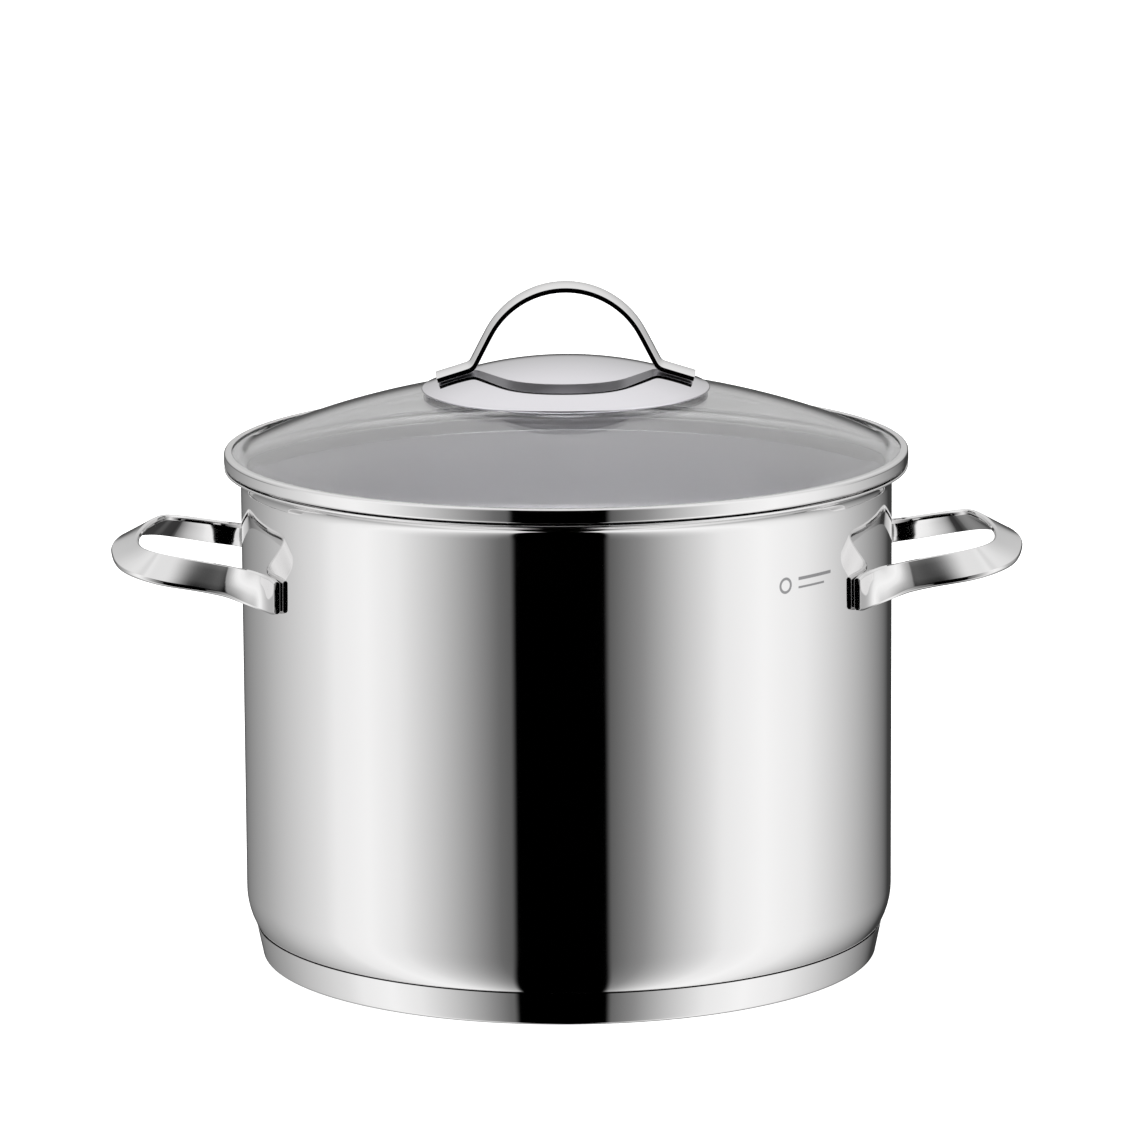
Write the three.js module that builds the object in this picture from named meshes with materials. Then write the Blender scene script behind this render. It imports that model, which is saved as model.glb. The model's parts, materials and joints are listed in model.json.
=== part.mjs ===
// Stock pot with two welded strip handles and a lift-off glass lid.
// Millimetres, +Z up. The origin is the centre of the base's underside; the side handles lie along X.
import * as THREE from "three";

// ---- Driving dimensions ----

const FACETS = 48; // round every turned piece, so that nested pieces keep parallel facets
const SMALL_FACETS = 24; // round the pieces of the clamp
const GAP = 0.3; // left between pieces that touch

const POT_RADIUS = 121; // outside of the wall
const SHEET = 0.9; // bowl sheet
const FLOOR_UNDERSIDE = 6; // underside of the bowl's floor
const SHOULDER_TOP = 26; // where the straight wall ends
const SHOULDER_RADIUS = 26; // gentle curve from the wall to the seam
const SEAM_HEIGHT = 12.5; // top edge of the base cap
const LIP_RADIUS = 127; // edge of the flared pouring lip
const LIP_TOP = 185.6;

const CAP_SHEET = 0.8;
const CAP_SIDE_FOOT = 115.2; // radius of the cap's side just above its rounded edge
const CAP_EDGE_ROUND = 1.2;
const CORE_RADIUS = 113.2;

const HANDLE_THICKNESS = 2.6;
const HANDLE_EDGE_ROUND = 0.7;
const HANDLE_END_TAPER = 0.88; // the foot's end ring is this much narrower, which rounds its corners
const HANDLE_STEPS = 48; // rings along one handle
// Half of a side handle, from the middle of the grip to the end of the foot. The middle of the strip is
// at x, y, z; lean is how far its top edge tips in towards the finger gap, in degrees.
const HANDLE_STATIONS = [
  { x: 164.5, y: 0, z: 155.9, lean: 69, width: 10.8 },
  { x: 163.3, y: 15.3, z: 155.8, lean: 66, width: 11.1 },
  { x: 160.2, y: 30.1, z: 155.7, lean: 60, width: 12.2 },
  { x: 154.6, y: 39.8, z: 155.2, lean: 51.5, width: 12.6 },
  { x: 147, y: 43.2, z: 153.8, lean: 45, width: 12.9 },
  { x: 134, y: 43.8, z: 151.7, lean: 39, width: 12.2 },
  { x: 122.1, y: 46.1, z: 149.7, lean: 41, width: 12.4 },
  { x: 114.4, y: 51.2, z: 148.3, lean: 15, width: 12.9 },
  { x: 109.9, y: 54.9, z: 147.4, lean: 0, width: 13.7 },
  { x: 105.6, y: 62.7, z: 147.2, lean: 0, width: 13.7 },
];

const GLASS_DOME_RADIUS = 300; // outer surface
const GLASS_APEX = 216.6;
const GLASS_THICKNESS = 3.6;
const GLASS_EDGE = 124.6;
const GLASS_HOLE = 7.2;
const GLASS_FLANGE = 118; // where the dome eases into the flat rim
const GLASS_FLANGE_TOP = 190.65;
const GLASS_EASE = 0.45; // how far out the dome's tangent is followed before the rim flattens

const RING_RADIUS = 127.1;
const RING_SHEET = 0.6;
const RING_TOP = 191.55;
const RING_UNDERSIDE = 186;
const RING_LIP_EDGE = 124.2; // inner edge of the turned-over top
const RING_CROWN_ROUND = 1.3;
const RING_HEEL_ROUND = 1.4;
const SKIRT_RADIUS = 118.9; // outside of the skirt that centres the lid in the pot
const SKIRT_BOTTOM = 178;
const SKIRT_FILLET = 2.8;
const SEAL_INNER = 124.9;
const SEAL_OUTER = 126;

const PLATE_RADIUS = 53.4;
const PLATE_DOME_RADIUS = 142;
const PLATE_APEX = 224.3;
const PLATE_SHEET = 1;

const ARCH_RADIUS = 30.4; // underside of the lid handle's strip
const ARCH_TOP = 250.2;
const LEG_ANGLE = 27; // legs from the vertical, degrees
const KNEE_RADIUS = 6.2;
const FOOT_MIDDLE = 42; // distance from the axis where the foot touches the plate
const FOOT_END = 47.3;
const STRIP_EDGE = 1.8; // thickness along the strip's edges
const STRIP_CROWN = 1.5; // how much thicker its middle is
const STRIP_WIDTH = 14;

const DISH_RADIUS = 25.3;
const DISH_FLOOR = 204.5;
const DISH_RIM = 209.6;
const DISH_SHEET = 1.2;
const DISH_ROUND = 2;
const LOWER_SEAL_RADIUS = 23;
const SCREW_HOLE = 2.8;
const SCREW_RADIUS = 2.3;
const SCREW_HEAD_RADIUS = 5.5;
const SCREW_HEAD_HEIGHT = 2.9;
const SCREW_TIP = 219.5;
const BOSS_FLANGE_RADIUS = 14;
const BOSS_FLANGE_BOTTOM = 219.2;
const BOSS_NECK_RADIUS = 6.4;
const BOSS_BOTTOM = 213.8;
const BORE_RADIUS = 2.7;
const BORE_TOP = 221;
const UPPER_SEAL_RADIUS = 13.6;

// ---- Materials ----

const steel = (color, roughness) => new THREE.MeshStandardMaterial({ color, roughness, metalness: 1 });
const silicone = () => new THREE.MeshStandardMaterial({ color: 0x8d8d8a, roughness: 0.7, metalness: 0 });
const clearGlass = () =>
  new THREE.MeshStandardMaterial({
    color: 0xe6ecea,
    roughness: 0.05,
    metalness: 0,
    transparent: true,
    opacity: 0.3,
  });

// ---- Geometry helpers ----

const radians = THREE.MathUtils.degToRad;
const point = (radius, height) => new THREE.Vector2(radius, height);

// The point at a distance and an angle, in degrees from the +radius direction, from a centre.
function polar(centre, distance, angle) {
  return point(
    centre.x + distance * Math.cos(radians(angle)),
    centre.y + distance * Math.sin(radians(angle)),
  );
}

const arc = (centre, radius, from, to, steps) =>
  Array.from({ length: steps + 1 }, (_, i) => polar(centre, radius, from + ((to - from) * i) / steps));

// Height of a dome at a distance from the axis.
const domeHeight = (centreHeight, radius, distance) =>
  centreHeight + Math.sqrt(radius ** 2 - distance ** 2);

// A solid of revolution about Z. The profile keeps the material on its left, and either starts and ends
// on the axis or is closed here.
function turned(profile, facets = FACETS) {
  const onAxis = profile[0].x === 0 && profile.at(-1).x === 0;
  const outline = onAxis ? profile : [...profile, profile[0].clone()];
  return new THREE.LatheGeometry(outline, facets).rotateX(Math.PI / 2);
}

// A section swept through rings. A ring says where the section's origin goes, which ways its x and y
// point, and how much its x is stretched.
function swept(section, rings) {
  const steps = rings.length - 1;
  const bar = new THREE.ExtrudeGeometry(section, { depth: steps, steps, bevelEnabled: false });
  const vertices = bar.getAttribute("position");
  for (let i = 0; i < vertices.count; i++) {
    const { origin, across, out, stretch } = rings[Math.round(vertices.getZ(i))];
    const placed = origin
      .clone()
      .addScaledVector(across, vertices.getX(i) * stretch)
      .addScaledVector(out, vertices.getY(i));
    vertices.setXYZ(i, placed.x, placed.y, placed.z);
  }
  return bar;
}

function part(name, geometry, material) {
  const mesh = new THREE.Mesh(geometry, material);
  mesh.name = name;
  return mesh;
}

// ---- Pot ----

// The bowl's corner is two arcs that meet smoothly at the seam: the shoulder up to the wall, and the
// tighter heel down to the floor.
const seamDrop = SHOULDER_TOP - SEAM_HEIGHT;
const seamAngle = -THREE.MathUtils.radToDeg(Math.asin(seamDrop / SHOULDER_RADIUS));
const shoulderCentre = point(POT_RADIUS - SHOULDER_RADIUS, SHOULDER_TOP);
const heelRadius = (SEAM_HEIGHT - FLOOR_UNDERSIDE) / (1 - seamDrop / SHOULDER_RADIUS);
const heelCentre = polar(shoulderCentre, SHOULDER_RADIUS - heelRadius, seamAngle);

function bowlCorner(inset) {
  const heel = arc(heelCentre, heelRadius - inset, -90, seamAngle, 3);
  const shoulder = arc(shoulderCentre, SHOULDER_RADIUS - inset, seamAngle, 0, 4);
  return [...heel, ...shoulder.slice(1)];
}

function potBody() {
  const flare = LIP_RADIUS - POT_RADIUS;
  const flareCentre = point(LIP_RADIUS, LIP_TOP - flare - SHEET);
  const profile = [
    point(0, FLOOR_UNDERSIDE),
    ...bowlCorner(0),
    ...arc(flareCentre, flare, 180, 90, 4),
    ...arc(flareCentre, flare + SHEET, 90, 180, 4),
    ...bowlCorner(SHEET).reverse(),
    point(0, FLOOR_UNDERSIDE + SHEET),
  ];
  return part("pot_body", turned(profile), steel(0xc9c9cb, 0.12));
}

// A shallow cup: its top edge closes on the bowl at the seam, and its side tapers in to the floor.
function baseCap() {
  const insideBowl = arc(heelCentre, heelRadius + GAP, seamAngle, seamAngle - 14, 2);
  const edgeCentre = point(CAP_SIDE_FOOT - CAP_EDGE_ROUND, CAP_EDGE_ROUND);
  const profile = [
    point(0, 0),
    ...arc(edgeCentre, CAP_EDGE_ROUND, -90, -12, 3),
    point(insideBowl[0].x + CAP_SHEET / 5, insideBowl[0].y - CAP_SHEET / 8),
    ...insideBowl,
    ...arc(edgeCentre, CAP_EDGE_ROUND - CAP_SHEET, 0, -90, 2),
    point(0, CAP_SHEET),
  ];
  return part("base_cap", turned(profile), steel(0xc4c4c6, 0.16));
}

function baseCore() {
  const bottom = CAP_SHEET + GAP;
  const top = FLOOR_UNDERSIDE - GAP;
  const height = top - bottom;
  const profile = [
    point(0, bottom),
    point(CORE_RADIUS - height / 3, bottom),
    point(CORE_RADIUS, bottom + height / 3),
    point(CORE_RADIUS - height, top),
    point(0, top),
  ];
  return part("base_core", turned(profile), steel(0xb9bbbd, 0.45));
}

// The strip's section, one unit wide along x and with chamfered edges.
function stripSection(width) {
  const chamfer = HANDLE_EDGE_ROUND / width;
  const half = HANDLE_THICKNESS / 2;
  const quarter = [point(0.5 - chamfer, half), point(0.5, half - HANDLE_EDGE_ROUND)];
  const flipped = (x, y) => quarter.map((p) => point(p.x * x, p.y * y));
  return new THREE.Shape([
    ...quarter,
    ...flipped(1, -1).reverse(),
    ...flipped(-1, -1),
    ...flipped(-1, 1).reverse(),
  ]);
}

// A flat strip that leaves one foot on the wall, twists into the grip and comes back to the other foot.
function sideHandle(name, turn) {
  const half = HANDLE_STATIONS.slice(1);
  const stations = [...half.map((s) => ({ ...s, y: -s.y })).reverse(), HANDLE_STATIONS[0], ...half];
  const middle = new THREE.CatmullRomCurve3(stations.map((s) => new THREE.Vector3(s.x, s.y, s.z)));
  const leanAndWidth = new THREE.CatmullRomCurve3(
    stations.map((s) => new THREE.Vector3(s.lean, s.width, 0)),
  );
  const up = new THREE.Vector3(0, 0, 1);
  const rings = Array.from({ length: HANDLE_STEPS + 1 }, (_, i) => {
    const along = i / HANDLE_STEPS;
    const { x: lean, y: width } = leanAndWidth.getPoint(along);
    const forward = middle.getTangent(along);
    const outward = forward.clone().cross(up).normalize();
    const upward = outward.clone().cross(forward);
    return {
      origin: middle.getPoint(along),
      across: upward.applyAxisAngle(forward, -radians(lean)),
      out: outward.applyAxisAngle(forward, -radians(lean)),
      stretch: i === 0 || i === HANDLE_STEPS ? width * HANDLE_END_TAPER : width,
    };
  });
  const mesh = part(name, swept(stripSection(HANDLE_STATIONS[0].width), rings), steel(0xcfcfd0, 0.14));
  mesh.rotation.z = turn;
  return mesh;
}

// ---- Lid ----

const glassCentreHeight = GLASS_APEX - GLASS_DOME_RADIUS;
const plateCentreHeight = PLATE_APEX - PLATE_DOME_RADIUS;

// One face of the glass from the hole to the edge: a dome that eases into a nearly flat rim.
function glassFace(radius, edgeHeight, domeSteps) {
  const dome = Array.from({ length: domeSteps + 1 }, (_, i) => {
    const distance = GLASS_HOLE + ((GLASS_FLANGE - GLASS_HOLE) * i) / domeSteps;
    return point(distance, domeHeight(glassCentreHeight, radius, distance));
  });
  const start = dome.at(-1);
  const slope = -GLASS_FLANGE / (start.y - glassCentreHeight);
  const reach = GLASS_EASE * (GLASS_EDGE - GLASS_FLANGE);
  const ease = new THREE.QuadraticBezierCurve(
    start,
    point(start.x + reach, start.y + slope * reach),
    point(GLASS_EDGE, edgeHeight),
  );
  return [...dome, ...ease.getPoints(3).slice(1)];
}

function lidGlass() {
  const inner = glassFace(GLASS_DOME_RADIUS - GLASS_THICKNESS, GLASS_FLANGE_TOP - GLASS_THICKNESS, 6);
  const outer = glassFace(GLASS_DOME_RADIUS, GLASS_FLANGE_TOP, 6);
  return part("lid_glass", turned([...inner, ...outer.reverse()]), clearGlass());
}

// One sheet bent into a channel round the glass edge, with a skirt that drops inside the pot.
function lidRing() {
  const fillet = point(SKIRT_RADIUS + SKIRT_FILLET, RING_UNDERSIDE - SKIRT_FILLET);
  const heel = point(RING_RADIUS - RING_HEEL_ROUND, RING_UNDERSIDE + RING_HEEL_ROUND);
  const crown = point(RING_RADIUS - RING_CROWN_ROUND, RING_TOP - RING_CROWN_ROUND);
  const profile = [
    point(SKIRT_RADIUS, SKIRT_BOTTOM),
    ...arc(fillet, SKIRT_FILLET, 180, 90, 2),
    ...arc(heel, RING_HEEL_ROUND, -90, 0, 2),
    ...arc(crown, RING_CROWN_ROUND, 0, 90, 2),
    point(RING_LIP_EDGE, RING_TOP),
    point(RING_LIP_EDGE, RING_TOP - RING_SHEET),
    ...arc(crown, RING_CROWN_ROUND - RING_SHEET, 90, 0, 1),
    ...arc(heel, RING_HEEL_ROUND - RING_SHEET, 0, -90, 1),
    ...arc(fillet, SKIRT_FILLET + RING_SHEET, 90, 180, 2),
    point(SKIRT_RADIUS - RING_SHEET, SKIRT_BOTTOM),
  ];
  return part("lid_ring", turned(profile), steel(0xcfcfd1, 0.13));
}

// A plain ring of rectangular section.
const washer = (inner, outer, bottom, top) => [
  point(inner, bottom),
  point(outer, bottom),
  point(outer, top),
  point(inner, top),
];

function lidRimSeal() {
  const bottom = RING_UNDERSIDE + RING_SHEET + 2 * GAP;
  const profile = washer(SEAL_INNER, SEAL_OUTER, bottom, RING_TOP - RING_SHEET - 2 * GAP);
  return part("lid_rim_seal", turned(profile), silicone());
}

function lidPlate() {
  const face = (radius, edge) =>
    Array.from({ length: 6 }, (_, i) => {
      const distance = (edge * i) / 5;
      return point(distance, domeHeight(plateCentreHeight, radius, distance));
    });
  const under = face(PLATE_DOME_RADIUS - PLATE_SHEET, PLATE_RADIUS - PLATE_SHEET / 2);
  const over = face(PLATE_DOME_RADIUS, PLATE_RADIUS);
  return part("lid_plate", turned([...under, ...over.reverse()]), steel(0xcdccd0, 0.14));
}

// Half of the lid handle's underside as seen from the side: an arch, a straight leg tangent to it, a knee,
// and a foot tangent to the plate's dome. Each ring's out is the strip's outer side.
function handleHalf() {
  const slope = THREE.MathUtils.radToDeg(Math.asin(FOOT_MIDDLE / PLATE_DOME_RADIUS));
  const archCentre = point(0, ARCH_TOP - ARCH_RADIUS);
  const footNormal = polar(point(0, 0), 1, 90 - slope);
  const legNormal = polar(point(0, 0), 1, LEG_ANGLE);
  const footLevel = plateCentreHeight * footNormal.y + PLATE_DOME_RADIUS + GAP;
  const legReach = legNormal.dot(archCentre) + ARCH_RADIUS + KNEE_RADIUS;
  const footReach = footLevel + KNEE_RADIUS;
  const spread = legNormal.cross(footNormal);
  const kneeCentre = point(
    (legReach * footNormal.y - footReach * legNormal.y) / spread,
    (footReach * legNormal.x - legReach * footNormal.x) / spread,
  );
  const arch = arc(archCentre, ARCH_RADIUS, 90, LEG_ANGLE, 9);
  const knee = arc(kneeCentre, KNEE_RADIUS, 180 + LEG_ANGLE, 270 - slope, 4);
  const end = point(FOOT_END, (footLevel - footNormal.x * FOOT_END) / footNormal.y);
  return [
    ...arch.map((p) => ({ p, out: p.clone().sub(archCentre).normalize() })),
    ...knee.map((p) => ({ p, out: kneeCentre.clone().sub(p).normalize() })),
    { p: end, out: footNormal },
  ];
}

// Flat inside, crowned outside.
function crownedSection() {
  const crown = Array.from({ length: 7 }, (_, i) => {
    const across = 1 - i / 3;
    return point((across * STRIP_WIDTH) / 2, STRIP_EDGE + STRIP_CROWN * (1 - across ** 2));
  });
  return new THREE.Shape([point(-STRIP_WIDTH / 2, 0), point(STRIP_WIDTH / 2, 0), ...crown]);
}

function lidHandle() {
  const half = handleHalf();
  const mirrored = half.slice(1).map(({ p, out }) => ({
    p: point(-p.x, p.y),
    out: point(-out.x, out.y),
  }));
  const rings = [...mirrored.reverse(), ...half].map(({ p, out }) => ({
    origin: new THREE.Vector3(p.x, 0, p.y),
    across: new THREE.Vector3(0, 1, 0),
    out: new THREE.Vector3(out.x, 0, out.y),
    stretch: 1,
  }));
  return part("lid_handle", swept(crownedSection(), rings), steel(0xd2d2d3, 0.12));
}

// ---- Clamp through the glass ----

function plateBoss() {
  const underPlate = (distance) =>
    domeHeight(plateCentreHeight, PLATE_DOME_RADIUS - PLATE_SHEET, distance) - GAP;
  const profile = [
    point(0, BORE_TOP),
    point(BORE_RADIUS, BORE_TOP),
    point(BORE_RADIUS, BOSS_BOTTOM),
    point(BOSS_NECK_RADIUS, BOSS_BOTTOM),
    point(BOSS_NECK_RADIUS, BOSS_FLANGE_BOTTOM),
    point(BOSS_FLANGE_RADIUS, BOSS_FLANGE_BOTTOM),
    point(BOSS_FLANGE_RADIUS, underPlate(BOSS_FLANGE_RADIUS)),
    point(0, underPlate(BOSS_FLANGE_RADIUS)),
  ];
  return part("plate_boss", turned(profile, SMALL_FACETS), steel(0xbdbdbf, 0.3));
}

function upperSeal() {
  const profile = washer(
    BOSS_NECK_RADIUS + GAP,
    UPPER_SEAL_RADIUS,
    GLASS_APEX + GAP,
    BOSS_FLANGE_BOTTOM - GAP,
  );
  return part("upper_seal", turned(profile, SMALL_FACETS), silicone());
}

function lowerSeal() {
  const bottom = DISH_FLOOR + DISH_SHEET + GAP;
  const underGlass = (distance) =>
    domeHeight(glassCentreHeight, GLASS_DOME_RADIUS - GLASS_THICKNESS, distance) - GAP;
  const profile = [
    point(GLASS_HOLE, bottom),
    point(LOWER_SEAL_RADIUS, bottom),
    point(LOWER_SEAL_RADIUS, underGlass(LOWER_SEAL_RADIUS)),
    point(GLASS_HOLE, underGlass(GLASS_HOLE)),
  ];
  return part("lower_seal", turned(profile, SMALL_FACETS), silicone());
}

function clampDish() {
  const corner = point(DISH_RADIUS - DISH_ROUND, DISH_FLOOR + DISH_ROUND);
  const profile = [
    point(SCREW_HOLE, DISH_FLOOR),
    ...arc(corner, DISH_ROUND, -90, 0, 3),
    point(DISH_RADIUS, DISH_RIM),
    point(DISH_RADIUS - DISH_SHEET, DISH_RIM),
    ...arc(corner, DISH_ROUND - DISH_SHEET, 0, -90, 2),
    point(SCREW_HOLE, DISH_FLOOR + DISH_SHEET),
  ];
  return part("clamp_dish", turned(profile, SMALL_FACETS), steel(0x8c8c8e, 0.3));
}

function clampScrew() {
  const headTop = DISH_FLOOR - GAP;
  const headBottom = headTop - SCREW_HEAD_HEIGHT;
  const headEdge = SCREW_HEAD_HEIGHT / 3;
  const profile = [
    point(0, headBottom),
    point(SCREW_HEAD_RADIUS - headEdge, headBottom),
    point(SCREW_HEAD_RADIUS, headBottom + headEdge),
    point(SCREW_HEAD_RADIUS, headTop),
    point(SCREW_RADIUS, headTop),
    point(SCREW_RADIUS, SCREW_TIP),
    point(0, SCREW_TIP),
  ];
  return part("clamp_screw", turned(profile, SMALL_FACETS), steel(0xc2c2c4, 0.25));
}

// ---- Assembly ----

const pot = new THREE.Group();
pot.add(
  potBody(),
  baseCap(),
  baseCore(),
  sideHandle("handle_right", 0),
  sideHandle("handle_left", Math.PI),
);

const lid = new THREE.Group();
lid.add(
  lidGlass(),
  lidRing(),
  lidRimSeal(),
  lidPlate(),
  lidHandle(),
  plateBoss(),
  upperSeal(),
  lowerSeal(),
  clampDish(),
  clampScrew(),
);

const stockPot = new THREE.Group();
stockPot.add(pot, lid);
export default stockPot;
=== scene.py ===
"""Stock pot with welded strip handles and a glass lid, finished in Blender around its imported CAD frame."""

import json
from math import asin, ceil, cos, degrees, pi, radians, sin, sqrt

import bmesh
import bpy
from mathutils import Matrix, Vector


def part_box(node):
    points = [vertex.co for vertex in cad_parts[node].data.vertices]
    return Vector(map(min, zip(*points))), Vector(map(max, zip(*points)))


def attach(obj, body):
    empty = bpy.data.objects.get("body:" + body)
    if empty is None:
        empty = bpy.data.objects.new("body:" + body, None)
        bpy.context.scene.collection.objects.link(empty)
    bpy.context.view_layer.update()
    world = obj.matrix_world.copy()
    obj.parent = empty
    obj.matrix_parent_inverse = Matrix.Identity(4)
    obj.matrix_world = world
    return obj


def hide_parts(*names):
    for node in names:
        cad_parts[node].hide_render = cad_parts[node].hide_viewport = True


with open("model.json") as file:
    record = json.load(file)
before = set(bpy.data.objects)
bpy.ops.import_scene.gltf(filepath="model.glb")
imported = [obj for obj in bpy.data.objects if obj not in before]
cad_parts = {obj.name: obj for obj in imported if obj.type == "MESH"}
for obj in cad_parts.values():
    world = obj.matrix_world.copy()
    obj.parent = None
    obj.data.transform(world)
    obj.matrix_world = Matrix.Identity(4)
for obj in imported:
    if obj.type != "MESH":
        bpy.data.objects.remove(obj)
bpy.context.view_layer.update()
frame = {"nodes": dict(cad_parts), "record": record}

MM = 0.001
SEGMENTS = 224  # round every turned piece
ARC_STEP = 6  # degrees between the points of an outline's arcs
WELD = 0.002 * MM  # points nearer than this are one
SHARP = 35  # degrees between two faces of a turned piece, above which their edge stays sharp
FLARE = 6 * MM  # the pot's lip turns out by this much

pot_low, pot_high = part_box("pot_body")
wall_radius = pot_high.x - FLARE

bodies = frame["record"]["behaviour"]["bodies"]
body_of = {node: body for body, nodes in bodies.items() for node in nodes}


# ---- Node graphs ----


class Graph:
    """Adds shader nodes to a tree and links them in one call."""

    def __init__(self, tree):
        self.tree = tree

    def add(self, kind, inputs=(), **settings):
        node = self.tree.nodes.new(kind)
        for name, value in settings.items():
            setattr(node, name, value)
        for socket, value in dict(inputs).items():
            self.set(node.inputs[socket], value)
        return node

    def set(self, socket, value):
        if isinstance(value, bpy.types.NodeSocket):
            self.tree.links.new(value, socket)
        else:
            socket.default_value = value

    def math(self, operation, *values):
        node = self.add("ShaderNodeMath", operation=operation)
        for socket, value in zip(node.inputs, values):
            self.set(socket, value)
        return node.outputs[0]

    def span(self, value, low, high, to_low=0.0, to_high=1.0):
        """Maps low..high smoothly onto to_low..to_high, clamped."""
        inputs = {"Value": value, "From Min": low, "From Max": high, "To Min": to_low, "To Max": to_high}
        return self.add("ShaderNodeMapRange", inputs, interpolation_type="SMOOTHSTEP").outputs[0]

    def along(self, angle, points):
        """A value that follows straight lines through points of (degrees, value)."""
        first, last = points[0][0], points[-1][0]
        highest = max(value for _, value in points)
        inputs = {"Value": angle, "From Min": radians(first), "From Max": radians(last)}
        node = self.add("ShaderNodeValToRGB", {0: self.add("ShaderNodeMapRange", inputs).outputs[0]})
        ramp = node.color_ramp
        while len(ramp.elements) < len(points):
            ramp.elements.new(0.5)
        for element, (place, value) in zip(ramp.elements, points):
            element.position = (place - first) / (last - first)
            element.color = [*[value / highest] * 3, 1]
        return self.math("MULTIPLY", node.outputs[0], highest)

    def blend(self, share, a, b):
        node = self.add("ShaderNodeMix", {"Factor": share}, data_type="FLOAT")
        self.set(node.inputs[2], a)
        self.set(node.inputs[3], b)
        return node.outputs[0]

    def mix(self, share, a, b):
        node = self.add("ShaderNodeMix", {"Factor": share}, data_type="RGBA")
        self.set(node.inputs[6], a)
        self.set(node.inputs[7], b)
        return node.outputs[2]

    def noise(self, vector, scale, detail=2.0, roughness=0.5):
        inputs = {"Vector": vector, "Scale": scale, "Detail": detail, "Roughness": roughness}
        return self.add("ShaderNodeTexNoise", inputs).outputs[0]

    def position(self):
        return self.add("ShaderNodeTexCoord").outputs["Object"]

    def parts(self, vector):
        return self.add("ShaderNodeSeparateXYZ", {0: vector}).outputs

    def vector(self, x, y, z):
        return self.add("ShaderNodeCombineXYZ", {0: x, 1: y, 2: z}).outputs[0]

    def around_axis(self, turn, pitch):
        """A vector in which noise is drawn out round the Z axis into lines a pitch apart."""
        x, y, z = self.parts(self.position())
        squares = self.math("MULTIPLY", x, x), self.math("MULTIPLY", y, y)
        radius = self.math("SQRT", self.math("ADD", *squares))
        along = self.math("ADD", radius, z)
        scaled = self.math("DIVIDE", turn, self.math("MAXIMUM", radius, MM))
        round_x = self.math("MULTIPLY", x, scaled)
        round_y = self.math("MULTIPLY", y, scaled)
        return self.vector(round_x, round_y, self.math("DIVIDE", along, pitch))

    def bump(self, height, depth):
        return self.add("ShaderNodeBump", {"Height": height, "Distance": depth, "Strength": 1.0}).outputs[0]


def new_material(name):
    material = bpy.data.materials.new(name)
    material.use_nodes = True
    return material, Graph(material.node_tree), material.node_tree.nodes["Principled BSDF"].inputs


# ---- Materials ----

MARK_RING = (85.6 * MM, 156.5 * MM)  # its middle: distance round the wall from the front, and height
MARK_RING_RADIUS = 2.5 * MM
MARK_LINE = 1 * MM  # width of the ring's line
MARK_SOFT = 0.15 * MM
MARK_BARS = (  # left, right, low and high edges
    (92 * MM, 110 * MM, 157.6 * MM, 158.8 * MM),
    (92 * MM, 106 * MM, 154.6 * MM, 155.4 * MM),
)


def mark_bar(graph, across, height, edges):
    """1 inside the bar's edges and 0 outside."""
    left, right, low, high = edges
    share = 1.0
    for value, edge, soft in (
        (across, left, MARK_SOFT),
        (across, right, -MARK_SOFT),
        (height, low, MARK_SOFT),
        (height, high, -MARK_SOFT),
    ):
        inside = graph.span(value, edge - soft, edge + soft)
        share = graph.math("MULTIPLY", share, inside)
    return share


def mark_ring(graph, across, height):
    """1 on the ring's line and 0 off it."""
    middle_across, middle_height = MARK_RING
    offsets = graph.math("SUBTRACT", across, middle_across), graph.math("SUBTRACT", height, middle_height)
    squares = [graph.math("MULTIPLY", offset, offset) for offset in offsets]
    distance = graph.math("SQRT", graph.math("ADD", *squares))
    off_line = graph.math("ABSOLUTE", graph.math("SUBTRACT", distance, MARK_RING_RADIUS))
    return graph.span(off_line, MARK_LINE / 2 - MARK_SOFT, MARK_LINE / 2 + MARK_SOFT, 1.0, 0.0)


def etched_mark(graph):
    """A plain mark etched in the wall: a small ring and two bars, beside the right-hand handle."""
    x, y, z = graph.parts(graph.position())
    angle = graph.math("ARCTAN2", x, graph.math("MULTIPLY", y, -1.0))
    across = graph.math("MULTIPLY", angle, wall_radius)
    mark = mark_ring(graph, across, z)
    for edges in MARK_BARS:
        mark = graph.math("MAXIMUM", mark, mark_bar(graph, across, z, edges))
    in_front = graph.span(y, 0.0, -MM)
    return graph.math("MULTIPLY", mark, in_front)


LINE_TURN = 2.0  # how fast the grinding lines change round the axis
SCRATCH_TURN = 40.0
SMUDGE_SCALE = 22.0
STREAK_SCALE = 12.0  # along the aluminium's rolling direction
STREAK_PITCH = 0.5 * MM  # and across it
GLASS_TINT = 0.965
ETCH_TONE = (0.16, 0.16, 0.17, 1)
ETCH_DEPTH = 0.75  # how much of the mark's tone shows
ETCH_ROUGHNESS = 0.35


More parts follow.
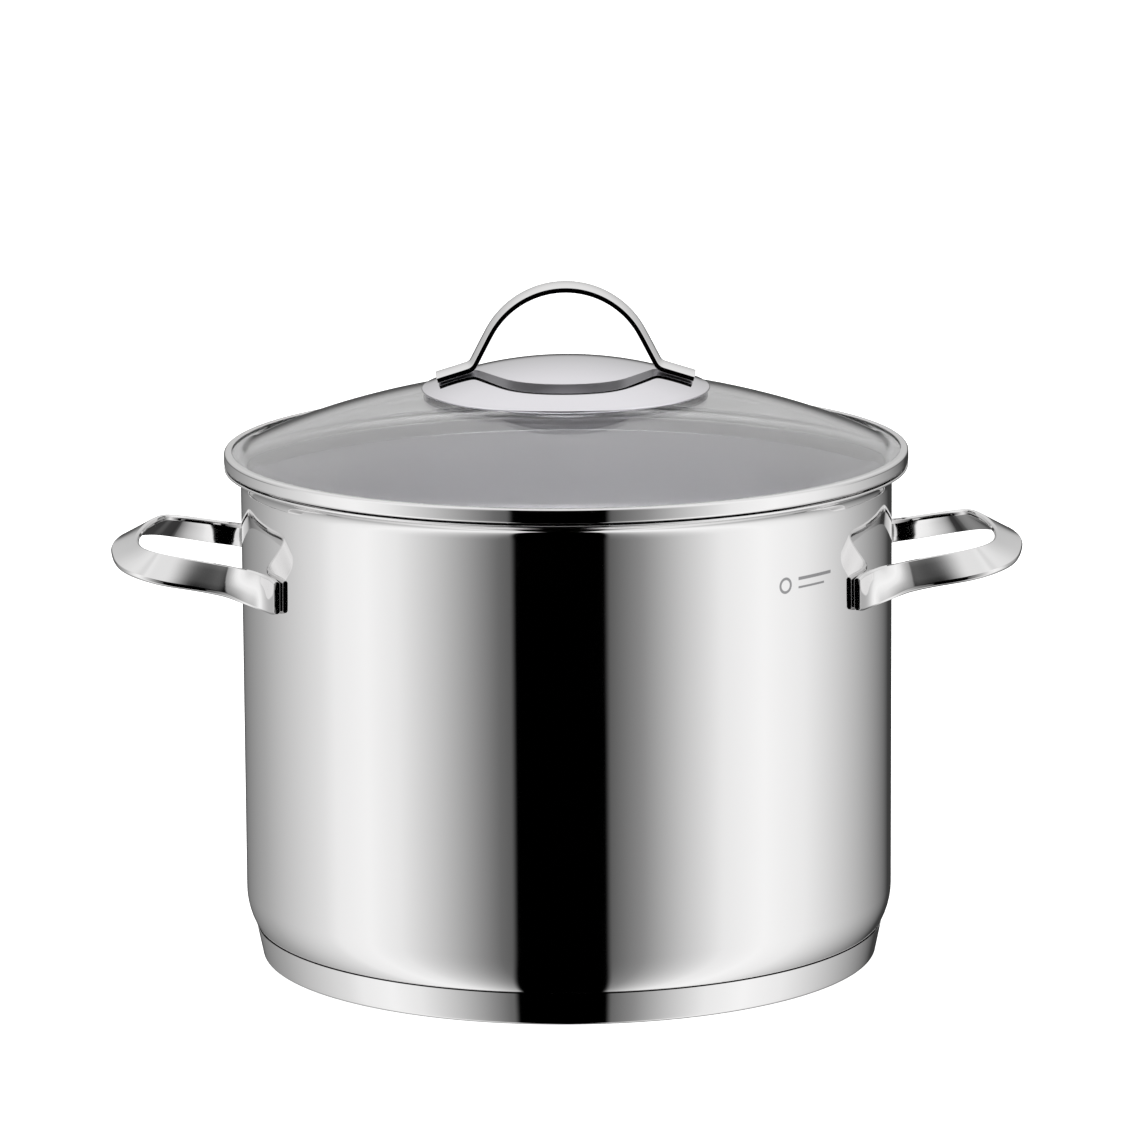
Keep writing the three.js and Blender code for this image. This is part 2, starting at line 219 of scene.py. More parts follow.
def steel(name, color, roughness, line_depth, line_pitch, marked=False):
    """Stainless steel with grinding lines round the axis, faint smudges and a few fine scratches."""
    material, graph, shader = new_material(name)
    lines = graph.noise(graph.around_axis(LINE_TURN, line_pitch), 1.0, 3.0, 0.6)
    smudges = graph.noise(graph.position(), SMUDGE_SCALE, 3.0)
    scratches = graph.noise(graph.around_axis(SCRATCH_TURN, 4 * line_pitch), 1.0, 1.0)
    worn = graph.span(smudges, 0.35, 0.75, roughness, roughness * 1.35)
    scratched = graph.span(scratches, 0.68, 0.8, 0.0, roughness * 0.5)
    rough = graph.math("ADD", worn, scratched)
    smudged = [channel * 0.985 for channel in color]
    tone = graph.mix(smudges, [*smudged, 1], [*color, 1])
    if marked:
        mark = etched_mark(graph)
        rough = graph.math("ADD", rough, graph.math("MULTIPLY", mark, ETCH_ROUGHNESS))
        tone = graph.mix(graph.math("MULTIPLY", mark, ETCH_DEPTH), tone, ETCH_TONE)
    graph.set(shader["Base Color"], tone)
    graph.set(shader["Roughness"], rough)
    graph.set(shader["Normal"], graph.bump(lines, line_depth))
    graph.set(shader["Metallic"], 1.0)
    return material


def clear_glass():
    """Neutral tempered glass with patches of faint haze."""
    material, graph, shader = new_material("clear_glass")
    haze = graph.noise(graph.position(), 30.0, 4.0)
    graph.set(shader["Base Color"], [GLASS_TINT, GLASS_TINT, GLASS_TINT, 1])
    graph.set(shader["Roughness"], graph.span(haze, 0.55, 0.8, 0.0, 0.03))
    graph.set(shader["IOR"], 1.5)
    graph.set(shader["Transmission Weight"], 1.0)
    return material


def grey_silicone():
    """Dull grey rubber with a fine grain."""
    material, graph, shader = new_material("grey_silicone")
    grain = graph.noise(graph.position(), 2500.0, 3.0)
    dust = graph.noise(graph.position(), 60.0, 3.0)
    graph.set(shader["Base Color"], graph.mix(dust, [0.2, 0.2, 0.2, 1], [0.27, 0.27, 0.265, 1]))
    graph.set(shader["Roughness"], graph.span(dust, 0.3, 0.7, 0.5, 0.7))
    graph.set(shader["Normal"], graph.bump(grain, 0.02 * MM))
    return material


def rolled_aluminium():
    """Bare aluminium sheet with streaks along one direction."""
    material, graph, shader = new_material("rolled_aluminium")
    x, y, z = graph.parts(graph.position())
    lengthwise = graph.math("MULTIPLY", x, STREAK_SCALE)
    across = graph.math("DIVIDE", y, STREAK_PITCH)
    streaks = graph.noise(graph.vector(lengthwise, across, z), 1.0)
    graph.set(shader["Base Color"], graph.mix(streaks, [0.68, 0.69, 0.7, 1], [0.78, 0.79, 0.8, 1]))
    graph.set(shader["Roughness"], graph.span(streaks, 0.3, 0.7, 0.32, 0.45))
    graph.set(shader["Normal"], graph.bump(streaks, 0.01 * MM))
    graph.set(shader["Metallic"], 1.0)
    return material


POLISHED = (0.83, 0.825, 0.825)
mirror_steel = steel("mirror_steel", POLISHED, 0.035, 0.0006 * MM, 0.5 * MM)
marked_steel = steel("marked_steel", POLISHED, 0.035, 0.0006 * MM, 0.5 * MM, marked=True)
satin_steel = steel("satin_steel", (0.89, 0.885, 0.91), 0.42, 0.006 * MM, 0.4 * MM)
turned_steel = steel("turned_steel", (0.7, 0.7, 0.71), 0.22, 0.02 * MM, 0.7 * MM)
clamp_steel = steel("clamp_steel", (0.5, 0.5, 0.51), 0.2, 0.004 * MM, 0.4 * MM)
plate_steel = steel("plate_steel", (0.83, 0.815, 0.85), 0.035, 0.0006 * MM, 0.5 * MM)
# painted shade: a darker copy of the polished steel for the inner side of the lid handle's arch
shaded_arch_steel = steel("shaded_arch_steel", (0.42, 0.42, 0.425), 0.28, 0.004 * MM, 0.4 * MM)
# painted shade: a darker, rougher copy of the steel for the bend above the lid ring's skirt, to dim the
# bright line it reflects
shaded_bend_steel = steel("shaded_bend_steel", (0.4, 0.4, 0.405), 0.6, 0.004 * MM, 0.4 * MM)
glass = clear_glass()
silicone = grey_silicone()


# ---- Outlines and turned pieces ----


def at(radius, height):
    return Vector((radius, height))


def polar(centre, distance, angle):
    return centre + distance * at(cos(radians(angle)), sin(radians(angle)))


def arc(centre, radius, start, end):
    steps = max(2, ceil(abs(end - start) / ARC_STEP))
    return [polar(centre, radius, start + (end - start) * i / steps) for i in range(steps + 1)]


def line(start, end, steps):
    """Points between two ends, without the ends, so that long faces keep their own normals."""
    return [start.lerp(end, i / steps) for i in range(1, steps)]


def dome(apex, radius, near, far, steps):
    """Points of a dome of that radius whose top is at the apex height, from one distance to another."""
    distances = [near + (far - near) * i / steps for i in range(steps + 1)]
    return [at(d, apex - radius + sqrt(radius**2 - d**2)) for d in distances]


def mesh_object(name, bm, *materials):
    mesh = bpy.data.meshes.new(name)
    bm.to_mesh(mesh)
    bm.free()
    for material in materials:
        mesh.materials.append(material)
    piece = bpy.data.objects.new(name, mesh)
    bpy.context.scene.collection.objects.link(piece)
    return piece


def turned(node, outline, *materials, second=None):
    """Turns an outline round Z into a piece that stands for a CAD node. Faces that the function second
    picks, by their centre and normal, take the second material."""
    bm = bmesh.new()
    verts = [bm.verts.new((p.x, 0, p.y)) for p in outline]
    closed = outline[0].x > 0
    edges = [bm.edges.new(pair) for pair in zip(verts, verts[1:] + verts[:1] if closed else verts[1:])]
    bmesh.ops.spin(
        bm, geom=verts + edges, cent=(0, 0, 0), axis=(0, 0, 1), angle=2 * pi, steps=SEGMENTS, use_merge=True
    )
    bmesh.ops.remove_doubles(bm, verts=bm.verts, dist=WELD)
    bmesh.ops.recalc_face_normals(bm, faces=bm.faces)
    bm.normal_update()
    for face in bm.faces:
        face.smooth = True
        if second and second(face.calc_center_median(), face.normal):
            face.material_index = 1
    piece = mesh_object(node + "_fine", bm, *materials)
    piece.data.set_sharp_from_angle(angle=radians(SHARP))
    return stand_for(piece, node)


def stand_for(piece, node):
    """The piece rides on its CAD node's body and hides the node."""
    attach(piece, body_of[node])
    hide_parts(node)
    return piece


def section_loop(ring):
    """The vertices of one ring of a swept strip, in order round its section."""

    def round_section(edge):
        in_ring = all(vert in ring for vert in edge.verts)
        return in_ring and not all(vert in ring for face in edge.link_faces for vert in face.verts)

    loop = ring[:1]
    while len(loop) < len(ring):
        beside = [edge.other_vert(loop[-1]) for edge in loop[-1].link_edges if round_section(edge)]
        loop.append(next(vert for vert in beside if vert not in loop))
    return loop


def in_line(loop, before):
    """The loop, started and turned so that it lies straight beyond the one before it."""
    count = len(loop)
    ways = (loop, loop[::-1])
    options = [[way[i - start] for i in range(count)] for way in ways for start in range(count)]

    def away(verts):
        return sum((vert.co - other.co).length_squared for vert, other in zip(verts, before))

    return min(options, key=away)


def strip_quads(node, corners, end):
    """A CAD node's swept strip again, in four-sided faces. Its section has that many corners, and one of
    its end rings lies farthest in the direction of end."""
    triangles = bmesh.new()
    triangles.from_mesh(frame["nodes"][node].data)
    bmesh.ops.remove_doubles(triangles, verts=triangles.verts, dist=WELD)
    triangles.verts.index_update()
    ring = sorted(triangles.verts, key=lambda vert: vert.co.dot(end))[-corners:]
    rings = [section_loop(ring)]
    seen = set(ring)
    while len(seen) < len(triangles.verts):
        beyond = {edge.other_vert(vert) for vert in rings[-1] for edge in vert.link_edges} - seen
        seen |= beyond
        loop = section_loop(sorted(beyond, key=lambda vert: vert.index))
        rings.append(in_line(loop, rings[-1]))
    bm = bmesh.new()
    rows = [[bm.verts.new(vert.co) for vert in ring] for ring in rings]
    for here, there in zip(rows, rows[1:]):
        for i in range(corners):
            bm.faces.new((here[i - 1], here[i], there[i], there[i - 1]))
    bm.faces.new(rows[0])
    bm.faces.new(rows[-1])
    bmesh.ops.recalc_face_normals(bm, faces=bm.faces)
    triangles.free()
    return bm


def smoothed(node, corners, end, *materials, second=None):
    """A CAD node's strip made smooth along its length and given rounded edges. Faces that the function
    second picks take the second material."""
    bm = strip_quads(node, corners, end)
    creases = bm.edges.layers.float.new("crease_edge")
    for edge in bm.edges:
        edge[creases] = 1.0 if edge.calc_face_angle() > radians(STRIP_CORNER) else 0.0
    bm.normal_update()
    for face in bm.faces:
        face.smooth = True
        face.material_index = int(bool(second and second(face.calc_center_median(), face.normal)))
    piece = mesh_object(node + "_fine", bm, *materials)
    surface = piece.modifiers.new("along", "SUBSURF")
    surface.levels = surface.render_levels = 2
    edges = piece.modifiers.new("edges", "BEVEL")
    edges.width = STRIP_ROUNDING
    edges.segments = 3
    edges.angle_limit = radians(STRIP_CORNER)
    piece.modifiers.new("normals", "WEIGHTED_NORMAL")
    return stand_for(piece, node)


# ---- Pot ----

SHEET = 0.9 * MM
LIP_STOP = 5  # degrees short of flat at which the flare ends
WALL_STEPS = 24
FLOOR_STEPS = 12
SHOULDER_RADIUS = 26 * MM
SHOULDER_RISE = 20 * MM  # from the floor's underside to the straight wall
SEAM_GAP = 0.3 * MM
CAP_SHEET = 0.8 * MM
CAP_FOOT_INSET = 2.4 * MM  # how far the cap's side tapers in
CAP_EDGE_ROUND = 1.2 * MM
CAP_LEAN = 12  # degrees from upright at which the side leaves its rounded edge
CAP_LAP = (0.5, 14)  # degrees below the seam between which the cap's edge follows the bowl
GROOVES = (0.45, 0.86)  # distances of the turned grooves from the axis, as shares of the flat underside
GROOVE_RADIUS = 0.6 * MM
STRIP_ROUNDING = 0.3 * MM
STRIP_CORNER = 28  # degrees, more than any bend between two rings and less than the section's corners
SIDE_STRIP_CORNERS = 8  # in the section of a side handle's strip
LID_STRIP_CORNERS = 9  # and of the lid handle's

cap_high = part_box("base_cap")[1]
shoulder_top = pot_low.z + SHOULDER_RISE
shoulder_centre = at(wall_radius - SHOULDER_RADIUS, shoulder_top)
seam_sine = (shoulder_top - cap_high.z) / SHOULDER_RADIUS
seam_angle = -degrees(asin(seam_sine))
heel_radius = (cap_high.z - pot_low.z) / (1 - seam_sine)
heel_centre = polar(shoulder_centre, SHOULDER_RADIUS - heel_radius, seam_angle)


def bowl_corner(inset):
    """The bowl's outline from its floor, round the tight heel and the gentle shoulder, to the wall."""
    heel = arc(heel_centre, heel_radius - inset, -90, seam_angle)
    return heel + arc(shoulder_centre, SHOULDER_RADIUS - inset, seam_angle, 0)[1:]


def bowl_inside(centre, normal):
    """The wall below the flared lip and the floor, seen from inside."""
    outward = normal.x * centre.x + normal.y * centre.y
    on_wall = outward < 0 and centre.z < pot_high.z - FLARE
    on_floor = centre.z < shoulder_top and normal.z > 0.5
    return on_wall or on_floor


def pot_body():
    """One drawn sheet, from the floor up the wall to the rolled edge of the lip, and back down inside."""
    lip_centre = at(pot_high.x, pot_high.z - SHEET - FLARE)
    lip_edge = at(pot_high.x - SHEET / 2, pot_high.z - SHEET / 2)
    under = arc(lip_centre, FLARE, 180, 90 + LIP_STOP)
    over = arc(lip_centre, FLARE + SHEET, 90 + LIP_STOP, 180)
    edge = arc(lip_edge, SHEET / 2, LIP_STOP - 90, 90 - LIP_STOP)
    outer, inner = bowl_corner(0), bowl_corner(SHEET)[::-1]
    floor, inside = at(0, pot_low.z), at(0, pot_low.z + SHEET)
    outline = [floor, *line(floor, outer[0], FLOOR_STEPS), *outer]
    outline += [*line(outer[-1], under[0], WALL_STEPS), *under, *edge]
    outline += [*over, *line(over[-1], inner[0], WALL_STEPS), *inner]
    outline += [*line(inner[-1], inside, FLOOR_STEPS), inside]
    turned("pot_body", outline, marked_steel, satin_steel, second=bowl_inside)


def cap_underside(centre, normal):
    """The flat faces that the pot stands on."""
    return normal.z < -0.999


def base_cap():
    """A shallow cup whose underside has two turned grooves."""
    bowl = arc(heel_centre, heel_radius + SEAM_GAP, *(seam_angle - lap for lap in CAP_LAP))
    brim = at(bowl[0].x + CAP_SHEET / 4, cap_high.z - CAP_SHEET / 3)
    foot = at(cap_high.x - CAP_FOOT_INSET - CAP_EDGE_ROUND, CAP_EDGE_ROUND)
    outer = arc(foot, CAP_EDGE_ROUND, -90, -CAP_LEAN)
    inner = arc(foot, CAP_EDGE_ROUND - CAP_SHEET, -CAP_LEAN, -90)
    start, inside = at(0, 0), at(0, CAP_SHEET)
    underside = [start]
    for share in GROOVES:
        groove = at(share * foot.x, 0)
        underside += line(underside[-1], groove, 6)
        underside += arc(groove, GROOVE_RADIUS, 180, 0)
    outline = [*underside, *line(underside[-1], outer[0], 6), *outer]
    outline += [*line(outer[-1], brim, 8), brim, *bowl]
    outline += [*line(bowl[-1], inner[0], 4), *inner]
    outline += [*line(inner[-1], inside, FLOOR_STEPS), inside]
    turned("base_cap", outline, mirror_steel, turned_steel, second=cap_underside)


# ---- Lid ----

GLASS_RADIUS = 300 * MM  # of the dome's outer face
GLASS_THICKNESS = 3.6 * MM
GLASS_HOLE = 7.2 * MM
GLASS_FLANGE = 118 * MM  # where the dome starts to ease into the flat rim
GLASS_EASE = 0.45  # how far out the dome's slope is followed before the rim flattens
DOME_STEPS = 40
EASE_STEPS = 8
RING_SHEET = 0.6 * MM
RING_LIP = 2.9 * MM  # how far the turned-over top reaches in over the glass
RING_CROWN = 1.3 * MM
RING_HEEL = 1.4 * MM
SKIRT_INSET = 8.2 * MM
RIM_SEAL_HOLE = 124.9 * MM
SKIRT_FILLET = 2.8 * MM
PLATE_RADIUS = 142 * MM
PLATE_SHEET = 1 * MM
PLATE_STEPS = 24
SEAL_ROUNDING = 0.25 * MM
LID_SEAT = 0.4 * MM  # gap between the ring and the pot's lip

glass_foot, hole_edge = (corner.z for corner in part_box("lid_glass"))
glass_apex = hole_edge + GLASS_RADIUS - sqrt(GLASS_RADIUS**2 - GLASS_HOLE**2)


def glass_face(apex, radius, rim_height):
    """The dome from its hole out, then its ease into the flat rim at that height."""
    face = dome(apex, radius, GLASS_HOLE, GLASS_FLANGE, DOME_STEPS)
    start, end = face[-1], at(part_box("lid_glass")[1].x, rim_height)
    slope = (face[-1] - face[-2]).normalized()
    bend = start + slope * (GLASS_EASE * (end.x - start.x) / slope.x)
    shares = [i / EASE_STEPS for i in range(1, EASE_STEPS + 1)]
    return face + [start.lerp(bend, share).lerp(bend.lerp(end, share), share) for share in shares]


def lid_glass():
    outer = glass_face(glass_apex, GLASS_RADIUS, glass_foot + GLASS_THICKNESS)
    inner = glass_face(glass_apex - GLASS_THICKNESS, GLASS_RADIUS - GLASS_THICKNESS, glass_foot)
    turned("lid_glass", [*inner, *outer[::-1]], glass)


def skirt_bend(centre, normal):
    """The bend above the skirt takes rougher steel in a darker colour, painted shade that dims the bright
    line it reflects. It is seen through the glass.
    """
    return normal.z > 0.2 and centre.z < glass_foot


def lid_ring():
    """One sheet bent into a channel round the glass, with a skirt that drops inside the pot."""
    low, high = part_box("lid_ring")
    underside = pot_high.z + LID_SEAT
    skirt = high.x - SKIRT_INSET
    fillet = at(skirt + SKIRT_FILLET, underside - SKIRT_FILLET)
    heel = at(high.x - RING_HEEL, underside + RING_HEEL)
    crown = at(high.x - RING_CROWN, high.z - RING_CROWN)
    tip = at(high.x - RING_LIP + RING_SHEET / 2, high.z - RING_SHEET / 2)
    hem = at(skirt - RING_SHEET / 2, low.z + RING_SHEET / 2)
    outline = [
        *arc(hem, RING_SHEET / 2, -90, 0),
        *arc(fillet, SKIRT_FILLET, 180, 90),
        *arc(heel, RING_HEEL, -90, 0),
        *line(at(high.x, heel.y), at(high.x, crown.y), 4),
        *arc(crown, RING_CROWN, 0, 90),
        *arc(tip, RING_SHEET / 2, 90, 270),
        *arc(crown, RING_CROWN - RING_SHEET, 90, 0),
        *arc(heel, RING_HEEL - RING_SHEET, 0, -90),
        *arc(fillet, SKIRT_FILLET + RING_SHEET, 90, 180),
        *arc(hem, RING_SHEET / 2, 180, 270)[:-1],
    ]
    turned("lid_ring", outline, mirror_steel, shaded_bend_steel, second=skirt_bend)


def washer(node, hole, *materials):
    """A flat ring with rounded edges, as tall and as wide as its CAD node."""
    low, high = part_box(node)
    corners = [(hole, low.z, 180), (high.x, low.z, 270), (high.x, high.z, 0), (hole, high.z, 90)]
    outline = []
    for radius, height, start in corners:
        inward = SEAL_ROUNDING if radius == hole else -SEAL_ROUNDING
        upward = SEAL_ROUNDING if height == low.z else -SEAL_ROUNDING
        outline += arc(at(radius + inward, height + upward), SEAL_ROUNDING, start, start + 90)
    turned(node, outline, *materials)


def lid_plate():
    """A shallow polished dome whose edge is rounded."""
    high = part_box("lid_plate")[1]
    rim = PLATE_SHEET / 2
    over = dome(high.z, PLATE_RADIUS, 0, high.x - rim, PLATE_STEPS)
    under = dome(high.z - PLATE_SHEET, PLATE_RADIUS - PLATE_SHEET, 0, high.x - rim, PLATE_STEPS)
    middle = (over[-1] + under[-1]) / 2
    lean = degrees(asin(over[-1].x / PLATE_RADIUS))
    rounding = (over[-1] - under[-1]).length / 2
    edge = arc(middle, rounding, -90 - lean + ARC_STEP, 90 - lean - ARC_STEP)
    turned("lid_plate", [*under, *edge, *over[::-1]], plate_steel)


def arch_inside(centre, normal):
    """The lid handle's flat inner side faces the middle of the arch. It takes a darker copy of the steel:
    painted shade.
    """
    low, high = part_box("lid_handle")
    middle = Vector((0, 0, high.z - (high.x - low.x) / 3))
    across = Vector((centre.x, 0, centre.z)) - middle
    return abs(normal.y) < 0.1 and across.dot(normal) < 0


pot_body()
base_cap()
for side_handle in ("handle_right", "handle_left"):
    smoothed(side_handle, SIDE_STRIP_CORNERS, Vector((0, 1, 0)), mirror_steel)
lid_glass()
lid_ring()
washer("lid_rim_seal", RIM_SEAL_HOLE, silicone)
lid_plate()
smoothed("lid_handle", LID_STRIP_CORNERS, Vector((1, 0, 0)), mirror_steel, shaded_arch_steel, second=arch_inside)


# ---- Clamp through the glass ----

DISH_SHEET = 1.2 * MM
DISH_ROUND = 2 * MM
SCREW_HOLE = 2.8 * MM
SHANK_RADIUS = 2.3 * MM
RECESS_DEPTH = 1.9 * MM
RECESS_REACH = 2.4 * MM
RECESS_WIDTH = 0.9 * MM
RECESS_MOUTH = 1.1  # the cutter's size below the screw's face, as a share of the reach and the width
RECESS_TIP_REACH = 0.5  # and the same at its tip
RECESS_TIP_WIDTH = 0.7
BOSS_NECK = 6.4 * MM
BORE_RADIUS = 2.7 * MM
BOSS_TOP = 1.3 * MM  # between the bore's end and the boss's top


def clamp_dish():
    """A shallow pressed dish with a rolled rim, under the glass."""
    low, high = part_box("clamp_dish")
    corner = at(high.x - DISH_ROUND, low.z + DISH_ROUND)
    rim = at(high.x - DISH_SHEET / 2, high.z - DISH_SHEET / 2)
    outer = arc(corner, DISH_ROUND, -90, 0)
    inner = arc(corner, DISH_ROUND - DISH_SHEET, 0, -90)
    under, over = at(SCREW_HOLE, low.z), at(SCREW_HOLE, low.z + DISH_SHEET)
    outline = [under, *line(under, outer[0], 6), *outer, *arc(rim, DISH_SHEET / 2, 0, 180)]
    outline += [*inner, *line(inner[-1], over, 6), over]
    turned("clamp_dish", outline, clamp_steel)


def clamp_screw():
    """A pan head with a cross recess, under the dish."""
    low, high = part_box("clamp_screw")
    head_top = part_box("clamp_dish")[0].z - SEAM_GAP
    rounding = (head_top - low.z) / 2
    edge = at(high.x - rounding, low.z + rounding)
    shank = [at(SHANK_RADIUS, head_top), at(SHANK_RADIUS, high.z)]
    outline = [at(0, low.z), at(edge.x / 2, low.z), *arc(edge, rounding, -90, 0), at(high.x, head_top)]
    outline += [shank[0], *line(*shank, 4), shank[1], at(0, high.z)]
    screw = turned("clamp_screw", outline, clamp_steel)
    recess = cross_recess(low.z)
    cut = screw.modifiers.new("recess", "BOOLEAN")
    cut.object = recess
    cut.solver = "EXACT"
    cut.use_self = True  # the cutter's two arms cross
    bpy.context.view_layer.update()
    finished = screw.evaluated_get(bpy.context.evaluated_depsgraph_get())
    mesh = bpy.data.meshes.new_from_object(finished)
    screw.modifiers.clear()
    screw.data = mesh
    bpy.data.objects.remove(recess)
    mesh.set_sharp_from_angle(angle=radians(SHARP))


def cross_recess(face):
    """A cross-shaped cutter that tapers upwards from the height of a screw's face."""
    bm = bmesh.new()
    for turn in (0, 90):
        arm = bmesh.ops.create_cube(bm, size=1.0)["verts"]
        for vert in arm:
            tip = vert.co.z > 0
            vert.co.x *= 2 * RECESS_REACH * (RECESS_TIP_REACH if tip else RECESS_MOUTH)
            vert.co.y *= RECESS_WIDTH * (RECESS_TIP_WIDTH if tip else RECESS_MOUTH)
            vert.co.z = face + (RECESS_DEPTH if tip else -RECESS_DEPTH)
        bmesh.ops.rotate(bm, verts=arm, matrix=Matrix.Rotation(radians(turn), 3, "Z"))
    return mesh_object("cross_cutter", bm)


def plate_boss():
    """A threaded boss with a flange, bored from below for the screw."""
    low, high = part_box("plate_boss")
    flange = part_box("upper_seal")[1].z + SEAM_GAP
    bore_end = high.z - BOSS_TOP
    outline = [at(0, bore_end), at(BORE_RADIUS, bore_end), at(BORE_RADIUS, low.z), at(BOSS_NECK, low.z)]
    outline += [at(BOSS_NECK, flange), at(high.x, flange), at(high.x, high.z), at(0, high.z)]
    turned("plate_boss", outline, clamp_steel)


def lower_seal():
    """A thick washer whose top follows the underside of the glass."""
    low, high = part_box("lower_seal")
    under_glass = glass_apex - GLASS_THICKNESS - SEAM_GAP
    top = dome(under_glass, GLASS_RADIUS - GLASS_THICKNESS, GLASS_HOLE, high.x, 6)
    turned("lower_seal", [at(GLASS_HOLE, low.z), at(high.x, low.z), *top[::-1]], silicone)


def base_core():
    """The hidden core keeps its CAD mesh, with its own material."""
    materials = frame["nodes"]["base_core"].data.materials
    materials.clear()
    materials.append(rolled_aluminium())


clamp_dish()
clamp_screw()
plate_boss()
washer("upper_seal", BOSS_NECK + SEAM_GAP, silicone)
base_core()
lower_seal()


# ---- Floor, light and camera ----

FLOOR_RADIUS = 40  # metres
FLOOR_TONE = 0.8
FLOOR_GLOW = 0.75


def pale_floor():
    """A large pale disc under the pot. It is seen, but neither reflected nor seen through the lid, and it
    is clear from below."""
    material, graph, shader = new_material("pale_floor")
    nodes = material.node_tree.nodes
    graph.set(shader["Base Color"], [FLOOR_TONE, FLOOR_TONE, FLOOR_TONE, 1])
    graph.set(shader["Roughness"], 1.0)
    graph.set(shader["Emission Color"], [1, 1, 1, 1])
    graph.set(shader["Emission Strength"], FLOOR_GLOW)
    below = graph.add("ShaderNodeNewGeometry").outputs["Backfacing"]
    clear = graph.add("ShaderNodeBsdfTransparent").outputs[0]
    both = graph.add("ShaderNodeMixShader", {0: below, 1: nodes["Principled BSDF"].outputs[0], 2: clear})
    graph.set(nodes["Material Output"].inputs["Surface"], both.outputs[0])
    bm = bmesh.new()
    bmesh.ops.create_circle(bm, cap_ends=True, radius=FLOOR_RADIUS, segments=96)
    floor = mesh_object("floor", bm, material)
    floor.visible_glossy = False
    floor.visible_transmission = False


# Brightness round the horizon, by azimuth in degrees from the camera, to the right positive: two large
# soft lights to the left and right of the camera, dim behind it and behind the pot.
HORIZON = (
    *((-180, 0.04), (-170, 0.1), (-166, 0.2), (-150, 0.33), (-137, 0.44), (-121, 0.62), (-108, 0.76)),
    *((-97, 0.88), (-90, 1.0), (-75, 1.08), (-62, 0.96), (-46, 0.64), (-31, 0.31), (-24, 0.17)),
    *((-17, 0.1), (13, 0.1), (26, 0.3), (41, 0.66), (56, 0.98), (73, 1.1), (92, 0.99), (106, 0.8)),
    *((119, 0.62), (135, 0.4), (150, 0.2), (160, 0.05), (180, 0.04)),
)
# Brightness up the wall behind the pot, by elevation in degrees.
BEHIND = (
    *((-10, 0.03), (-5, 0.06), (-1, 0.14), (3, 0.46), (6, 0.57)),
    *((12, 0.63), (20, 0.72), (32, 0.85), (45, 0.92)),
)
FLAG = (-17.5, 12.5)  # azimuths of the edges of the black flag behind the camera, as the wall shows it
FLAG_EDGE = 2.5  # degrees over which each edge fades
FLAG_SPREAD = 0.62  # how the flag widens towards the floor, so that the shoulder shows it as wide
WALL_REACH = 0.981  # horizontal part of the directions that the wall reflects
BACKDROP_EDGE = (95, 125)  # azimuths between which the walls turn into the backdrop
FLOOR_LINE = (-10, -1)  # elevations between which the backdrop begins
TOP_EDGE = (64, 76)  # elevations between which the walls turn into the soft light overhead
LET_IN_EDGE = (28, 45)  # elevations between which the lid stops showing the backdrop
OVERHEAD = 0.9  # the soft light overhead, as polished faces reflect it
THROUGH_GLASS = 0.4  # what is seen straight through the lid
FILL = 1.15  # what lights dull surfaces, from all round
# What reaches the inside of the pot through the lid, by elevation in degrees.
INSIDE = ((0, 0.6), (30, 0.8), (50, 0.95), (58, 1.3), (66, 4.4), (75, 6.8), (90, 7.0))


def flag_mask(graph, turn, rise):
    """0 on the flag and 1 off it."""
    reach = graph.math("DIVIDE", graph.math("COSINE", rise), WALL_REACH)
    squeezed = graph.math("MULTIPLY", turn, graph.math("POWER", reach, FLAG_SPREAD))
    left, right = (radians(edge) for edge in FLAG)
    soft = radians(FLAG_EDGE)
    beyond_left = graph.span(squeezed, left, left - soft)
    beyond_right = graph.span(squeezed, right, right + soft)
    return graph.math("MAXIMUM", beyond_left, beyond_right)


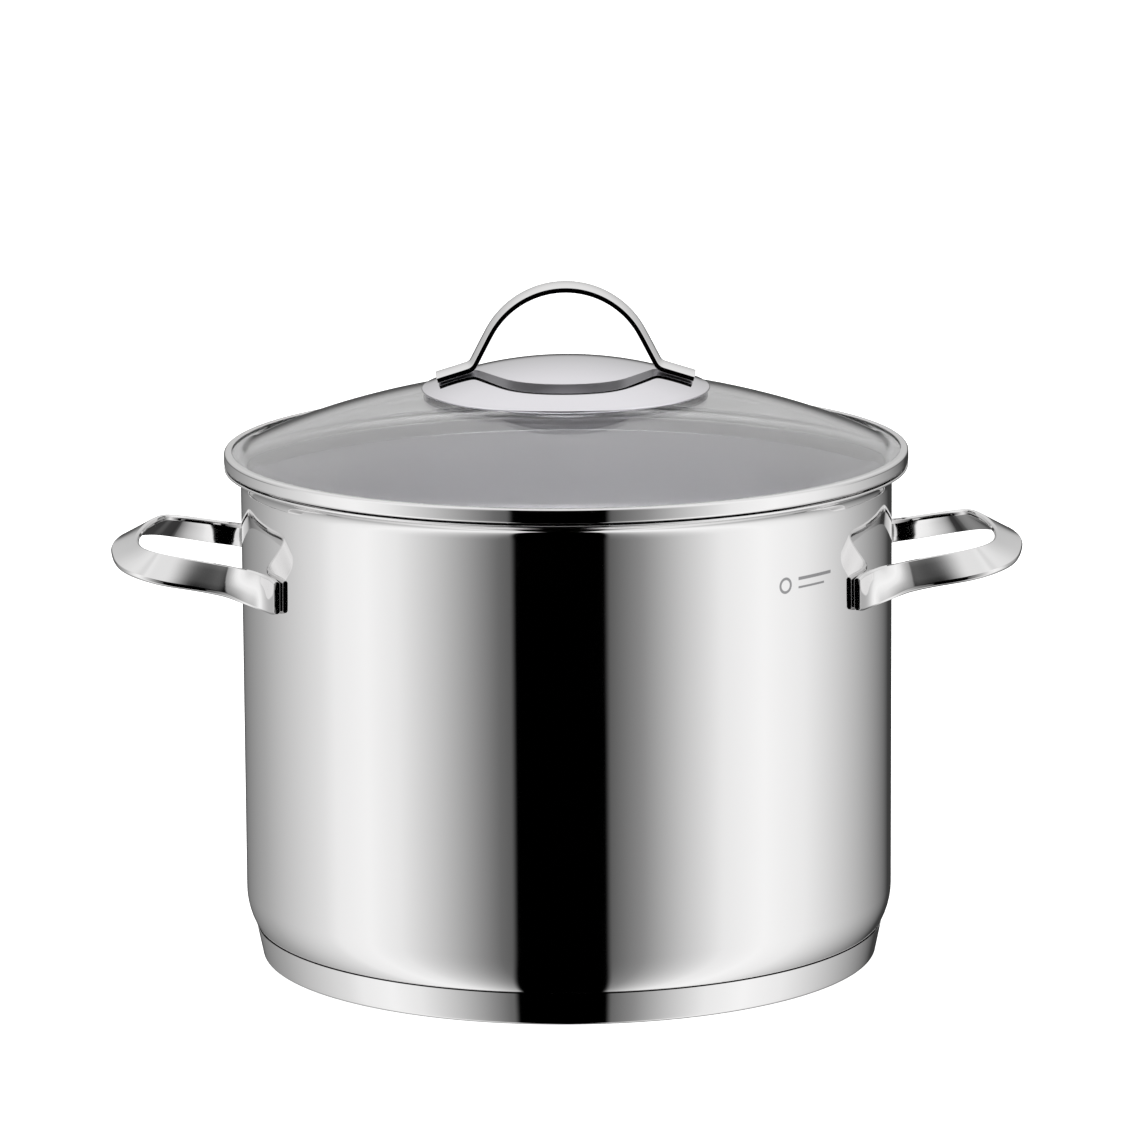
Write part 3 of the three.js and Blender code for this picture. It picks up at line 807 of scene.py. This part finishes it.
def studio_light(graph):
    """Brightness of the studio in each direction: as polished faces reflect it, and as the lid lets it in,
    which is the same all round except towards the backdrop."""
    x, y, z = graph.parts(graph.add("ShaderNodeTexCoord").outputs["Generated"])
    turn = graph.math("ARCTAN2", x, graph.math("MULTIPLY", y, -1.0))
    rise = graph.math("ARCSINE", z)
    off_flag = flag_mask(graph, turn, rise)
    walls = graph.math("MULTIPLY", graph.along(turn, HORIZON), off_flag)
    to_side = graph.math("ABSOLUTE", turn)
    behind = graph.span(to_side, *(radians(edge) for edge in BACKDROP_EDGE))
    above_floor = graph.span(rise, *(radians(edge) for edge in FLOOR_LINE))
    backdrop = graph.math("MULTIPLY", behind, above_floor)
    room = graph.blend(backdrop, walls, graph.along(rise, BEHIND))
    near_top = graph.span(rise, *(radians(edge) for edge in TOP_EDGE))
    outside = graph.blend(near_top, room, OVERHEAD)
    below_top = graph.span(rise, *(radians(edge) for edge in LET_IN_EDGE), 1.0, 0.0)
    let_in = graph.along(rise, INSIDE)
    inside = graph.blend(graph.math("MULTIPLY", backdrop, below_top), let_in, room)
    return outside, inside


def studio_world():
    """White to the camera, and the studio to every piece that it shines on."""
    world = bpy.data.worlds.new("studio")
    world.use_nodes = True
    bpy.context.scene.world = world
    graph = Graph(world.node_tree)
    path = graph.add("ShaderNodeLightPath").outputs
    reflected = graph.math("MINIMUM", path["Glossy Depth"], 1.0)
    through = path["Is Transmission Ray"]
    outside, inside = studio_light(graph)
    let_in = graph.blend(reflected, THROUGH_GLASS, inside)
    polished = graph.blend(through, outside, let_in)
    seen = graph.blend(path["Is Glossy Ray"], FILL, polished)
    strength = graph.blend(path["Is Camera Ray"], seen, 1.0)
    background = world.node_tree.nodes["Background"]
    graph.set(background.inputs["Strength"], strength)
    background.inputs["Color"].default_value = [1, 1, 1, 1]


CAMERA_DISTANCE = 2.541
CAMERA_HEIGHT = 0.65
CAMERA_TIP = 11.185  # degrees below level
CAMERA_TURN = 0.041  # degrees to the left
CAMERA_ROLL = 0.391  # degrees
LENS = 222.5  # millimetres, for a sensor 36 wide
SENSOR = 36


def camera():
    """At the front, a little above the rim, tipped down on the pot."""
    data = bpy.data.cameras.new("camera")
    data.lens = LENS
    data.sensor_width = SENSOR
    camera = bpy.data.objects.new("camera", data)
    turn = Matrix.Rotation(radians(CAMERA_TURN), 4, "Z")
    tip = Matrix.Rotation(radians(90 - CAMERA_TIP), 4, "X")
    roll = Matrix.Rotation(radians(-CAMERA_ROLL), 4, "Z")
    place = Matrix.Translation((0, -CAMERA_DISTANCE, CAMERA_HEIGHT))
    camera.matrix_world = place @ turn @ tip @ roll
    bpy.context.scene.collection.objects.link(camera)
    bpy.context.scene.camera = camera


pale_floor()
studio_world()
camera()
bpy.context.scene.view_settings.view_transform = "Standard"
